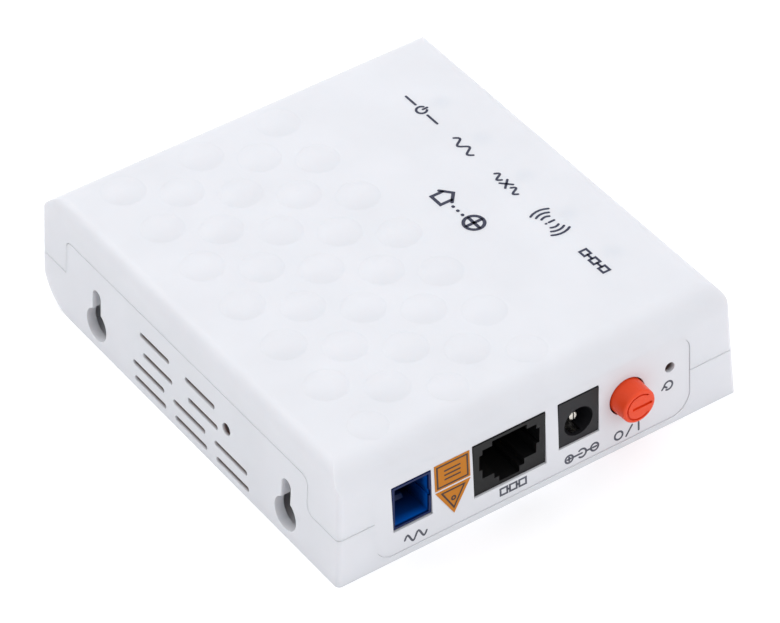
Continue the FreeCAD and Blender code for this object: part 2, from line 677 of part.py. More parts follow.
def port_panel():
    """The plate with the port openings, and the flange behind it that the shells hold."""
    body = doc.addObject("PartDesign::Body", "port_panel")
    front = "case_depth / 2 - panel_recess"
    plate_sketch = sketch_on(body, "plate_sketch", "XZ_Plane", front)
    rectangle(plate_sketch, ("panel_left", "panel_right"), ("panel_bottom", "panel_top"))
    plate = pad(body, "plate", plate_sketch,
                "flange_start + flange_thick - panel_recess", backwards=True)
    middle = plate.Shape.BoundBox.Center
    corners = {
        (-1, 1): "panel_left_top_radius", (1, 1): "panel_right_top_radius",
        (1, -1): "panel_right_bottom_radius", (-1, -1): "panel_left_bottom_radius",
    }
    rounded = plate
    for signs, formula in corners.items():
        def at_corner(edge, wanted=signs, radius=formula):
            if abs(edge.tangentAt(edge.FirstParameter).y) < 0.5:
                return None
            offset = edge.CenterOfMass - middle
            found = (1 if offset.x > 0 else -1, 1 if offset.z > 0 else -1)
            return size(radius) if found == wanted and abs(offset.x) > 20 else None
        rounded = body_fillet(body, f"corner_{formula}", rounded, at_corner)
    flange_sketch = sketch_on(body, "flange_sketch", "XZ_Plane", "case_depth / 2 - flange_start")
    rectangle(flange_sketch, ("panel_left - flange_border", "panel_right + flange_border"),
              ("floor_thick + 0.25", "panel_top + flange_border"))
    pad(body, "flange", flange_sketch, "flange_thick", backwards=True)
    openings = sketch_on(body, "openings_sketch", "XZ_Plane", front)
    rectangle(openings, around("fibre_x", "fibre_opening_width"),
              around("fibre_level", "fibre_opening_height"))
    rectangle(openings, around("lan_x", "lan_opening_width"), ("lan_opening_bottom", "lan_opening_top"))
    rectangle(openings, around("inlet_x", "inlet_opening_width"),
              ("inlet_opening_bottom", "lan_opening_top"))
    circle(openings, "button_x", "button_level", "button_hole")
    circle(openings, "reset_x", "reset_level", "pinhole_radius")
    pocket(body, "openings", openings, "flange_start + flange_thick + 1")
    return lean_with_front(body)


def port_sticker():
    """A rectangle and a triangle that points down, side by side on the panel."""
    face = "-case_depth / 2 + panel_recess"
    upper = box("sticker_rectangle", ("sticker_left", "sticker_right"),
                (f"{face} - sticker_thick", face), ("sticker_split_upper", "sticker_top"))
    left, right = size("sticker_left"), size("sticker_right")
    y, top = size(f"{face} - sticker_thick"), size("sticker_split_lower")
    corners = [Vector(left, y, top), Vector(right, y, top),
               Vector((left + right) / 2, y, size("sticker_tip"))]
    triangle = Part.Face(Part.makePolygon(corners + corners[:1]))
    lower = feature("sticker_triangle", triangle.extrude(Vector(0, size("sticker_thick"), 0)))
    return lean_with_front(compound("port_sticker", [upper, lower]))


# ---------------------------------------------------------------- board and fasteners

def circuit_board():
    body = doc.addObject("PartDesign::Body", "circuit_board")
    outline_sketch = sketch_on(body, "board_sketch", "XY_Plane", "board_bottom")
    side, front, rear = "board_half_width", "-board_front", "board_rear"
    inner, first, last = f"{side} - notch_width", f"{front} + notch_depth", f"{rear} - notch_depth"
    outline(outline_sketch, [
        (f"-({inner})", front), (inner, front), (inner, first), (side, first),
        (side, last), (inner, last), (inner, rear), (f"-({inner})", rear),
        (f"-({inner})", last), (f"-{side}", last), (f"-{side}", first), (f"-({inner})", first)])
    pad(body, "board_plate", outline_sketch, "board_thick")
    holes = sketch_on(body, "board_holes_sketch", "XY_Plane", "board_bottom + board_thick")
    for direction, end in BOARD_SCREWS:
        circle(holes, f"board_screw_x * {direction}", end, "board_hole_radius")
    pocket(body, "board_holes", holes, "board_thick + 1")
    return body


def screw_master(name, head_radius, head, radius, length):
    """A pan-head screw that points up, its head's flat underside at the origin's level."""
    body = doc.addObject("PartDesign::Body", f"{name}_master")
    profile = sketch_on(body, f"{name}_profile", "XZ_Plane")
    outline(profile, [
        ("0", f"-{head}"), (f"{head_radius} * 0.8", f"-{head}"), (head_radius, f"-{head} * 0.5"),
        (head_radius, "0"), (radius, "0"), (radius, f"{length} - {radius}"),
        (f"{radius} * 0.3", length), ("0", length)])
    revolve(body, f"{name}_turned", profile)
    cross = sketch_on(body, f"{name}_cross", "XY_Plane", f"-{head}")
    arm, half = "recess_arm", "recess_width / 2"
    outline(cross, [
        (arm, half), (half, half), (half, arm), (f"-{half}", arm), (f"-{half}", half),
        (f"-{arm}", half), (f"-{arm}", f"-{half}"), (f"-{half}", f"-{half}"),
        (f"-{half}", f"-{arm}"), (half, f"-{arm}"), (half, f"-{half}"), (arm, f"-{half}")])
    pocket(body, f"{name}_recess", cross, "recess_depth", backwards=True)
    return body


def case_screws():
    master = screw_master("case_screw", "case_screw_head_radius", "case_screw_head",
                          "case_screw_radius", "case_screw_length")
    places = [(size(f"case_screw_x * {side}"), size(f"case_screw_y * {end}"),
               size("counterbore_depth")) for side, end in CORNERS]
    return scatter("case_screws", master, places)


def board_screws():
    master = screw_master("board_screw", "board_screw_head_radius", "board_screw_head",
                          "board_screw_radius", "board_screw_length - 1")
    places = [(size(f"board_screw_x * {side}"), size(end), size("board_bottom"))
              for side, end in BOARD_SCREWS]
    return scatter("board_screws", master, places)


def hanging_box(name, alias, x, y, round_radius="0.1"):
    """A block against the underside of the board."""
    return rounded_box(name, around(x, f"{alias}_length"), around(y, f"{alias}_width"),
                       (f"board_bottom - {alias}_height", "board_bottom"), "z", round_radius)


def chip(name):
    return hanging_box(name, name, f"{name}_x", f"{name}_y", "0.3")


def processor_cooling():
    """The pad under the processor and the finned block that it presses against."""
    x, y = "processor_chip_x", "processor_chip_y"
    chip_bottom = "board_bottom - processor_chip_height"
    pad_block = rounded_box("thermal_pad", around(x, "processor_chip_length - 1"),
                            around(y, "processor_chip_width - 1"),
                            (f"{chip_bottom} - pad_thick", chip_bottom), "z", "0.5")
    body = doc.addObject("PartDesign::Body", "heat_sink")
    top = f"{chip_bottom} - pad_thick"
    block_sketch = sketch_on(body, "sink_sketch", "XY_Plane", top)
    rectangle(block_sketch, around(x, "sink_size"), around(y, "sink_size"))
    pad(body, "sink_block", block_sketch, "sink_base + sink_fin_height", backwards=True)
    gap_sketch = sketch_on(body, "gap_sketch", "XZ_Plane", f"-({y}) + sink_size / 2 + 1")
    left = f"{x} - sink_size / 2 + sink_fin_thick"
    low = f"{top} - sink_base - sink_fin_height"
    rectangle(gap_sketch, (left, f"{left} + sink_gap"), (f"{low} - 1", f"{top} - sink_base"))
    gap = pocket(body, "sink_gap_cut", gap_sketch, "sink_size + 2")
    pattern = body.newObject("PartDesign::LinearPattern", "sink_gaps")
    pattern.Originals = [gap]
    pattern.Direction = (gap_sketch, ["H_Axis"])
    pattern.Occurrences = int(size("sink_size - sink_fin_thick") // size("sink_fin_thick + sink_gap"))
    bind(pattern, "Length", f"(sink_fin_thick + sink_gap) * {pattern.Occurrences - 1}")
    body.Tip = pattern
    doc.recompute()
    return pad_block, body


def small_groups():
    """Regulators, inductors, electrolytic and ceramic capacitors, and the status lamps."""
    regulator = hanging_box("regulator_master", "regulator", "0", "0", "0.2")
    inductor = rounded_box("inductor_master", around("0", "inductor_size"), around("0", "inductor_size"),
                           ("board_bottom - inductor_height", "board_bottom"), "z", "inductor_round")
    can = cylinder("capacitor_can", "z", ("0", "0", "board_bottom - capacitor_height"),
                   "capacitor_radius", "capacitor_height")
    doc.recompute()
    low = size("board_bottom - capacitor_height")
    capacitor = fillet_edges("capacitor_master", can, lambda edge: size("capacitor_round") if (
        abs(edge.CenterOfMass.z - low) < 0.1 and edge.Closed) else None)
    ceramic = hanging_box("ceramic_master", "ceramic", "0", "0", "0.05")
    led_base = "board_bottom + board_thick"
    led = rounded_box("led_master", around("0", "led_length"), around("0", "led_width"),
                      (led_base, f"{led_base} + led_height"), "z", "0.2")
    front_row, rear_row, right_column = -6.5, 22.5, 25.5
    ceramic_places = [(x, y, 0) for y in (front_row, rear_row) for x in range(-12, 9, 4)]
    ceramic_places += [(right_column, y, 0) for y in range(-6, 20, 5)]
    window = size("window_column")
    return [
        scatter("regulator_chips", regulator, [(x, y, 0) for x, y in REGULATOR_PLACES]),
        scatter("power_inductors", inductor, [(x, y, 0) for x, y in INDUCTOR_PLACES]),
        scatter("filter_capacitors", capacitor, [(x, y, 0) for x, y in CAPACITOR_PLACES]),
        scatter("ceramic_capacitors", ceramic, ceramic_places),
        scatter("status_leds", led,
                [(window, size(f"lattice_pitch * {number}"), 0) for number in range(-2, 3)]),
    ]


# ---------------------------------------------------------------- fibre port

def sc_receptacle():
    """An open box for a fibre plug, with a keyway in its right wall and a hole for the barrel."""
    body = doc.addObject("PartDesign::Body", "sc_receptacle")
    outer = sketch_on(body, "receptacle_sketch", "XZ_Plane", "receptacle_front")
    rectangle(outer, around("fibre_x", "receptacle_width"), around("fibre_level", "receptacle_height"))
    pad(body, "receptacle_block", outer, "receptacle_length", backwards=True)
    mount_sketch = sketch_on(body, "standoff_sketch", "XZ_Plane",
                             "receptacle_front - standoff_setback")
    rectangle(mount_sketch, around("fibre_x", "receptacle_width - 2"),
              ("fibre_level + receptacle_height / 2 - 0.3", "board_bottom"))
    pad(body, "standoff", mount_sketch, "receptacle_length - standoff_setback - 2", backwards=True)
    inner = sketch_on(body, "cavity_sketch", "XZ_Plane", "receptacle_front")
    rectangle(inner, around("fibre_x", "receptacle_width - 2 * receptacle_side_wall"),
              around("fibre_level", "receptacle_height - 2 * receptacle_end_wall"))
    pocket(body, "cavity", inner, "receptacle_length - receptacle_back_wall")
    key = sketch_on(body, "keyway_sketch", "XZ_Plane", "receptacle_front")
    rectangle(key, ("fibre_x", "fibre_x + receptacle_width / 2 - keyway_skin"),
              around("fibre_level", "keyway_height"))
    pocket(body, "keyway", key, "keyway_depth")
    hole = sketch_on(body, "barrel_hole_sketch", "XZ_Plane", "receptacle_front")
    circle(hole, "fibre_x", "fibre_level", "barrel_hole_radius")
    pocket(body, "barrel_hole", hole, "receptacle_length + 1")
    return body


def sc_latch():
    """Two hooked arms that grip the plug, above and below it."""
    root = size("-receptacle_front + receptacle_length - receptacle_back_wall")
    tip = -size("latch_tip")
    solids = []
    for side in (-1, 1):
        level = size(f"fibre_level + latch_offset * {side}")
        hook = level - size("hook_drop") * side
        points = [(root, level), (tip + 2.2, level), (tip + 1.4, hook), (tip + 0.5, hook), (tip, level)]
        solids.append(strip_solid(points, size("latch_thick"), size("latch_width"), size("fibre_x")))
    return feature("sc_latch", Part.makeCompound(solids))


def optics():
    """The barrel, its ceramic sleeve, the metal block behind it and the two metal cans."""
    x, z = "fibre_x", "fibre_level"
    back = "-receptacle_front + receptacle_length"
    block = rounded_box("optics_cube", around(x, "optics_block"), (back, f"{back} + optics_length"),
                        around(z, "optics_block"), "y", "1")
    barrel = cylinder("barrel", "y", (x, "-barrel_front", z), "barrel_radius", f"{back} + barrel_front + 1")
    bore = cylinder("barrel_bore_tool", "y", (x, "-barrel_front - 1", z), "barrel_bore",
                    "sleeve_length + 1.5")
    solid = fuse("optics_solid", [block, barrel])
    optical_body = cut("optical_body", solid, [bore])
    start = "-barrel_front + 0.3"
    tube = cylinder("sleeve_outside", "y", (x, start, z), "sleeve_radius", "sleeve_length")
    tube_bore = cylinder("sleeve_inside", "y", (x, f"{start} - 1", z), "sleeve_bore", "sleeve_length + 2")
    slit = box("sleeve_slit_tool", around(x, "sleeve_slit"),
               (f"{start} - 1", f"{start} + sleeve_length + 1"), (z, f"{z} + sleeve_radius + 1"))
    sleeve = cut("alignment_sleeve", tube, [tube_bore, slit])
    rear = f"{back} + optics_length"
    laser = fuse("laser_can", [
        cylinder("laser_tube", "y", (x, rear, z), "can_radius", "can_length"),
        cylinder("laser_flange", "y", (x, f"{rear} + can_length - can_flange_thick", z),
                 "can_flange", "can_flange_thick")])
    side = f"{x} + optics_block / 2"
    middle = f"{back} + optics_length / 2"
    detector = fuse("detector_can", [
        cylinder("detector_tube", "x", (side, middle, z), "can_radius", "can_length"),
        cylinder("detector_flange", "x", (f"{side} + can_length - can_flange_thick", middle, z),
                 "can_flange", "can_flange_thick")])
    return [optical_body, sleeve, laser, detector]


def optics_pins():
    """Bent leads from each can to the board."""
    spread, lead, run = size("lead_spread"), size("lead_size"), size("lead_run")
    level, top = size("fibre_level"), size("board_bottom")
    back = size("-receptacle_front + receptacle_length + optics_length + can_length")
    side = size("fibre_x + optics_block / 2 + can_length")
    middle = size("-receptacle_front + receptacle_length + optics_length / 2")
    solids = []
    for across, up in itertools.product((-1, 1), (-1, 1)):
        height = level + spread * up
        end = run - size("lead_step") * up
        laser_path = [(back, height), (back + end, height), (back + end, top)]
        solids.append(strip_solid(laser_path, lead, lead, size("fibre_x") + spread * across))
        detector_path = [(side, height), (side + end, height), (side + end, top)]
        solids.append(strip_solid(detector_path, lead, lead, middle + spread * across, "y"))
    return feature("optics_pins", Part.makeCompound(solids))


# ---------------------------------------------------------------- LAN port

def lan_jack_housing():
    """A block with a plug-shaped cavity: the plug's body, a contact notch above it, side reliefs
    and a stepped latch notch below it."""
    body = doc.addObject("PartDesign::Body", "lan_jack_housing")
    outer = sketch_on(body, "lan_sketch", "XZ_Plane", "lan_front")
    rectangle(outer, around("lan_x", "lan_width"), ("lan_bottom", "board_bottom"))
    pad(body, "lan_block", outer, "lan_length", backwards=True)
    right_side = [
        ("lan_latch_half", "lan_latch_low"), ("lan_latch_half", "lan_step_low"),
        ("lan_step_half", "lan_step_low"), ("lan_step_half", "lan_floor"),
        ("lan_half", "lan_floor"), ("lan_half", "lan_bump_low"),
        ("lan_bump_half", "lan_bump_low"), ("lan_bump_half", "lan_bump_high"),
        ("lan_half", "lan_bump_high"), ("lan_half", "lan_ceiling"),
        ("lan_notch_half", "lan_ceiling"), ("lan_notch_half", "lan_notch_top")]
    corners = [(f"lan_x + {half}", level) for half, level in right_side]
    corners += [(f"lan_x - {half}", level) for half, level in reversed(right_side)]
    plug = sketch_on(body, "plug_sketch", "XZ_Plane", "lan_front")
    outline(plug, corners)
    pocket(body, "plug_cavity", plug, "lan_cavity_depth")
    slots = sketch_on(body, "wire_slots_sketch", "XZ_Plane", "lan_front - lan_cavity_depth + 0.5")
    for number in range(8):
        rectangle(slots, around(f"lan_x + contact_pitch * ({number} - 3.5)", "contact_slot"),
                  around("contact_level", "contact_slot"))
    pocket(body, "wire_slots", slots, "lan_length - lan_cavity_depth + 2")
    return body


def lan_jack_contacts():
    """Eight spring wires: up from the board, forward over the cavity and back down into it."""
    level, bend = size("contact_level"), -size("contact_bend")
    tail, end = -size("contact_tail"), -size("contact_end")
    nose, nose_drop = 0.6, 0.35
    path = [(tail, size("board_bottom")), (tail, level), (bend, level), (bend - nose, level - nose_drop),
            (bend - nose / 2, level - 0.8), (end, size("contact_end_level"))]
    solids = []
    for number in range(8):
        x = size(f"lan_x + contact_pitch * ({number} - 3.5)")
        solids.append(strip_solid(path, size("contact_thick"), size("contact_width"), x))
    return feature("lan_jack_contacts", Part.makeCompound(solids))


def lan_transformer_leads():
    """Sixteen bent leads, eight along each long side of the transformer."""
    top = size("board_bottom")
    y, half = size("lan_transformer_y"), size("lan_transformer_width / 2")
    thick, width, pitch = 0.25, 0.5, 1.27
    shoulder, foot, drop = 0.6, 1.5, 2.4
    solids = []
    for side in (-1, 1):
        edge = y + half * side
        path = [(edge, top - drop), (edge + shoulder * side, top - drop),
                (edge + shoulder * side, top - thick / 2), (edge + foot * side, top - thick / 2)]
        for number in range(8):
            x = size("lan_transformer_x") + pitch * (number - 3.5)
            solids.append(strip_solid(path, thick, width, x))
    return feature("lan_transformer_leads", Part.makeCompound(solids))


# ---------------------------------------------------------------- power inlet

def power_jack_housing():
    body = doc.addObject("PartDesign::Body", "power_jack_housing")
    outer = sketch_on(body, "inlet_sketch", "XZ_Plane", "inlet_front")
    rectangle(outer, around("inlet_x", "inlet_width"), ("inlet_bottom", "board_bottom"))
    pad(body, "inlet_block", outer, "inlet_length", backwards=True)
    bore = sketch_on(body, "bore_sketch", "XZ_Plane", "inlet_front")
    circle(bore, "inlet_x", "inlet_level", "inlet_bore")
    pocket(body, "bore", bore, "inlet_bore_depth")
    channel = sketch_on(body, "channel_sketch", "XZ_Plane", "inlet_front - 0.8")
    rectangle(channel, around("inlet_x", "2 * inlet_channel_half"), ("inlet_channel_low", "inlet_level"))
    pocket(body, "channel", channel, "inlet_bore_depth - 0.8")
    pin_hole = sketch_on(body, "pin_hole_sketch", "XZ_Plane", "inlet_front")
    circle(pin_hole, "inlet_x", "inlet_level", "pin_radius + pin_play")
    pocket(body, "pin_hole", pin_hole, "inlet_length + 1")
    return body


def power_jack_pin():
    """A round contact pin with a slit across its tip."""
    rear = "-inlet_front + inlet_length"
    rod = cylinder("pin_rod", "y", ("inlet_x", "-pin_front", "inlet_level"), "pin_radius",
                   f"pin_front + {rear}")
    doc.recompute()
    tip = -size("pin_front")
    rounded = fillet_edges("pin_round", rod, lambda edge: size("pin_tip_round") if (
        edge.Closed and abs(edge.CenterOfMass.y - tip) < 0.1) else None)
    slit = box("pin_slit_tool", around("inlet_x", "pin_slit"),
               ("-pin_front - 1", "-pin_front + pin_slit_depth"), around("inlet_level", "4"))
    return cut("power_jack_pin", rounded, [slit])


def power_jack_spring():
    """A leaf in the channel under the bore, bowed up into it."""
    low = size("inlet_channel_low + leaf_thick / 2 + 0.1")
    back = size("-inlet_front + inlet_bore_depth")
    start = -size("inlet_front")
    bow = ((1.2, 0), (2.6, 0.15), (4.8, 1.0), (7.0, 0.3))  # way in from the face, and rise
    path = [(start + inwards, low + rise) for inwards, rise in bow] + [(back, low)]
    solid = strip_solid(path, size("leaf_thick"), size("leaf_width"), size("inlet_x"))
    return feature("power_jack_spring", solid)


def power_jack_lugs():
    """Flat solder lugs behind and beside the inlet."""
    rear = "-inlet_front + inlet_length"
    right = "inlet_x + inlet_width / 2"
    return compound("power_jack_lugs", [
        box("rear_lug", around("inlet_x", "lug_width"), (rear, f"{rear} + lug_thick"),
            ("inlet_level - 1.5", "board_bottom")),
        box("side_lug", (right, f"{right} + lug_thick"), around(f"{rear} - 4", "lug_width"),
            ("inlet_level + 0.5", "board_bottom"))])


# ---------------------------------------------------------------- power switch

def power_button_cap():
    """A slightly tapered round cap with a power symbol cut into its face: a ring, open to the
    right, and a bar."""
    x, z = "button_x", "button_level"
    face = "-case_depth / 2 + panel_recess + front_slope * button_level - cap_protrusion"
    blank = cone("cap_blank", "y", (x, face, z), "cap_tip_radius", "cap_root_radius", "cap_length")
    doc.recompute()
    front = size(face)
    rounded = fillet_edges("cap_rounded", blank, lambda edge: size("cap_round") if (
        edge.Closed and abs(edge.CenterOfMass.y - front) < 0.1) else None)
    depth = (f"{face} - 1", f"{face} + mark_depth")
    ring_length = "mark_depth + 1"
    ring = cut("mark_ring", cylinder("ring_outside", "y", (x, f"{face} - 1", z),
                                     "mark_radius + mark_width / 2", ring_length),
               [cylinder("ring_inside", "y", (x, f"{face} - 2", z),
                         "mark_radius - mark_width / 2", f"{ring_length} + 2"),
                box("ring_gap", (x, f"{x} + 5"), (f"{face} - 2", f"{face} + 2"), around(z, "mark_gap"))])
    bar = box("mark_bar", (f"{x} - bar_left", f"{x} + bar_right"), depth, around(z, "bar_height"))
    socket_size = "stem_size + 2 * stem_play"
    socket = box("cap_socket", around(x, socket_size), ("-stem_front - stem_play", "0"),
                 around(z, socket_size))
    return cut("power_button_cap", rounded, [ring, bar, socket])


def power_button_stem():
    x, z = "button_x", "button_level"
    bar = rounded_box("stem_bar", around(x, "stem_size"), ("-stem_front", "-stem_rear"),
                      around(z, "stem_size"), "y", "0.3")
    seat = cylinder("stem_seat", "y", (x, "-stem_rear - 0.5", z), "stem_seat_radius",
                    "stem_seat_length + 0.5")
    return fuse("power_button_stem", [bar, seat])


def power_switch_body():
    x, z = "button_x", "button_level"
    block = rounded_box("switch_block", around(x, "body_size"), ("-body_front", "-body_rear"),
                        around(z, "body_height"), "y", "0.4")
    bore = box("switch_bore", around(x, "body_bore"), ("-body_front - 1", "-body_bore_end"),
               around(z, "body_bore"))
    return cut("power_switch_body", block, [bore])


def power_switch_frame():
    """A folded plate over the front of the switch body."""
    x, z = "button_x", "button_level"
    outer = box("frame_outside", around(x, "body_size + 2 * frame_thick"),
                ("-body_front - frame_thick", "-frame_rear"),
                around(z, "body_height - 2 * frame_margin"))
    inner = box("frame_inside", around(x, "body_size"), ("-body_front", "0"), around(z, "20"))
    hole = box("frame_hole_tool", around(x, "frame_hole"), ("-body_front - 2", "-body_front + 1"),
               around(z, "frame_hole"))
    return cut("power_switch_frame", outer, [inner, hole])


def power_switch_spring():
    """A coil spring between the stem and the far end of the switch body's bore."""
    radius, wire, pitch = size("coil_radius"), size("coil_wire"), size("coil_pitch")
    length = size("stem_rear - body_bore_end - 2 * coil_wire - 0.1")
    helix = Part.makeHelix(pitch, length, radius)
    start = Part.Circle(Vector(radius, 0, 0), Vector(0, 1, 0), wire).toShape()
    coil = Part.Wire(helix).makePipeShell([Part.Wire(start)], True, True)
    item = feature("power_switch_spring", coil)
    item.Placement = Placement(
        Vector(size("button_x"), size("-stem_rear + coil_wire + 0.05"), size("button_level")),
        AXIS_TURNS["y"])
    return item


def power_switch_pins():
    """Two rows of three pins from the switch body to the board."""
    top = "button_level + body_height / 2"
    pins = []
    for row, place in itertools.product((-1, 1), (-1, 0, 1)):
        x = f"button_x + switch_pin_pitch * {row}"
        y = f"(-body_front - body_rear) / 2 + switch_pin_pitch * {place}"
        pins.append(box(f"switch_pin_{row + 2}_{place + 2}", around(x, "switch_pin_size / 2"),
                        around(y, "switch_pin_size"), (top, "board_bottom")))
    return compound("power_switch_pins", pins)


# ---------------------------------------------------------------- reset switch

def reset_switch():
    """A small push switch behind the pinhole: body, metal frame, plunger, snap dome and pins."""
    x, z = "reset_x", "reset_level"
    block = rounded_box("reset_block", around(x, "reset_width"), ("-reset_front", "-reset_rear"),
                        around(z, "reset_height"), "y", "0.3")
    bore = cylinder("reset_bore_tool", "y", (x, "-reset_front - 1", z), "reset_bore",
                    "reset_front - reset_bore_end + 1")
    body = cut("reset_switch_body", block, [bore])
    frame_block = box("reset_frame_outside", around(x, "reset_width + 2 * reset_frame_thick"),
                      ("-reset_front - reset_frame_thick", "-reset_rear - 0.8"),
                      (f"{z} - reset_height / 2 + 0.8", "board_bottom"))
    frame_inner = box("reset_frame_inside", around(x, "reset_width"), ("-reset_front", "0"),
                      around(z, "20"))
    frame_hole = cylinder("reset_frame_hole", "y", (x, "-reset_front - 2", z), "reset_bore + 0.15", "3")
    frame = cut("reset_switch_frame", frame_block, [frame_inner, frame_hole])
    plunger = cylinder("reset_plunger", "y", (x, "-plunger_front", z), "plunger_radius",
                       "plunger_front - plunger_rear")
    start = "-plunger_rear + snap_play"
    dome_outside = cone("snap_outside", "y", (x, start, z), "snap_top_radius", "snap_radius", "snap_rise")
    dome_inside = cone("snap_inside", "y", (x, f"{start} + snap_thick", z), "snap_top_radius",
                       "snap_radius", "snap_rise")
    dome = cut("reset_snap_dome", dome_outside, [dome_inside])
    pins = []
    for side in (-1, 1):
        pins.append(box(f"reset_pin_{side + 2}", around(f"{x} + 2.2 * {side}", "0.6"),
                        around("-reset_rear - 1.5", "0.5"),
                        (f"{z} + reset_height / 2", "board_bottom")))
    return [body, frame, plunger, dome, compound("reset_switch_pins", pins)]


# ---------------------------------------------------------------- build and export

def build():
    nodes = [upper_cover(), lower_case(), rating_label(), port_panel(), port_sticker(),
             circuit_board(), case_screws(), board_screws()]
    nodes += [chip(name) for name in HANGING]
    nodes += [*processor_cooling(), *small_groups()]
    nodes += [sc_receptacle(), sc_latch(), *optics(), optics_pins()]
    nodes += [lan_jack_housing(), lan_jack_contacts(), lan_transformer_leads()]
    nodes += [power_jack_housing(), power_jack_pin(), power_jack_spring(), power_jack_lugs()]
    nodes += [power_button_cap(), power_button_stem(), power_switch_body(), power_switch_frame(),
              power_switch_spring(), power_switch_pins(), *reset_switch()]
    return nodes


def check(nodes):
    """Stops if anything in the document failed or a sub-part is empty or broken."""
    doc.recompute()
    failed = [item.Label for item in doc.Objects if {"Invalid", "Error"} & set(item.State)]
    if failed:
        raise RuntimeError(f"failed: {failed}")
    for node in nodes:
        if node.Shape.isNull() or not node.Shape.isValid() or not node.Shape.Solids:
            raise RuntimeError(f"{node.Label} is not a valid solid")


def export(nodes):
    os.makedirs("parts", exist_ok=True)
    for node in nodes:
        node.Shape.exportStep(f"parts/{node.Label}.step")
        print(f"{node.Label}: {len(node.Shape.Solids)} solids, {node.Shape.Volume:.1f} mm3")


sub_parts = build()
check(sub_parts)
export(sub_parts)
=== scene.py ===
import math

import bmesh
import bpy
from mathutils import Matrix, Vector


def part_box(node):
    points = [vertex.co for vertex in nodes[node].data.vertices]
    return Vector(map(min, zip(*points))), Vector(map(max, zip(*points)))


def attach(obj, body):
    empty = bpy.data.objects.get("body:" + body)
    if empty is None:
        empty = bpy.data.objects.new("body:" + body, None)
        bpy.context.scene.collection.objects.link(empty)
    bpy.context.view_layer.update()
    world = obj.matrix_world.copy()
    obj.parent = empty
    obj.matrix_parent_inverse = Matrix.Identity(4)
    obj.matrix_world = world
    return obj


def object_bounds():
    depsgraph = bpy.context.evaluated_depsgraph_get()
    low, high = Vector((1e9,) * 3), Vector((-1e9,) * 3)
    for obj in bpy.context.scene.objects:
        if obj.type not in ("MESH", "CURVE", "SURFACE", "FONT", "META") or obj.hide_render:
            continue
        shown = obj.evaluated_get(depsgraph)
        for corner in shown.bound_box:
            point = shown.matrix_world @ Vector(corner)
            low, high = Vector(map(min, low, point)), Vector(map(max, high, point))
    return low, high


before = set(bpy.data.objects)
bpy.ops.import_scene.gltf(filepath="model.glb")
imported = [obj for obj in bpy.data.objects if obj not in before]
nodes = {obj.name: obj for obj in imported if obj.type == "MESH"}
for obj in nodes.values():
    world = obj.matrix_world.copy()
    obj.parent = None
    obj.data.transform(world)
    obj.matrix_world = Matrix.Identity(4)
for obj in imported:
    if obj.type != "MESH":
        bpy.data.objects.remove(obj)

# The looks of a small white optical network terminal: materials for every part of the frame,
# printed marks on its top and port panel, a pale floor, soft studio light and the camera.
# Lengths are in metres unless a name or comment says millimetres.

cad_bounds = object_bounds()
MM = 0.001
DOME_RISE = 0.8 * MM
PANEL_RECESS = 0.2 * MM
STICKER_THICK = 0.1 * MM
FRONT_SLOPE = 0.053  # how far the front leans back for each metre of height
SIDE_SLOPE = 0.069  # the same for the side walls
INK_THICK = 0.03 * MM
LAMP_COUNT = 5  # status lamps, in one row under the top
CAMERA_PLACE = (-0.36009, -0.53090, 0.56333)
CAMERA_ANGLES = (-34.251, 40.916, -1.064)  # azimuth, elevation and tip, in degrees


# ---------------------------------------------------------------- node helpers

def srgb(red, green, blue):
    """A colour as the eye and a screen count it, 0 to 255, turned into the shader's linear scale."""
    def linear(value):
        share = value / 255
        return share / 12.92 if share <= 0.04045 else ((share + 0.055) / 1.055) ** 2.4
    return linear(red), linear(green), linear(blue), 1.0


def shade(colour, factor):
    """The same colour, lighter or darker by a factor."""
    return tuple(min(1.0, part * factor) for part in colour[:3]) + (1.0,)


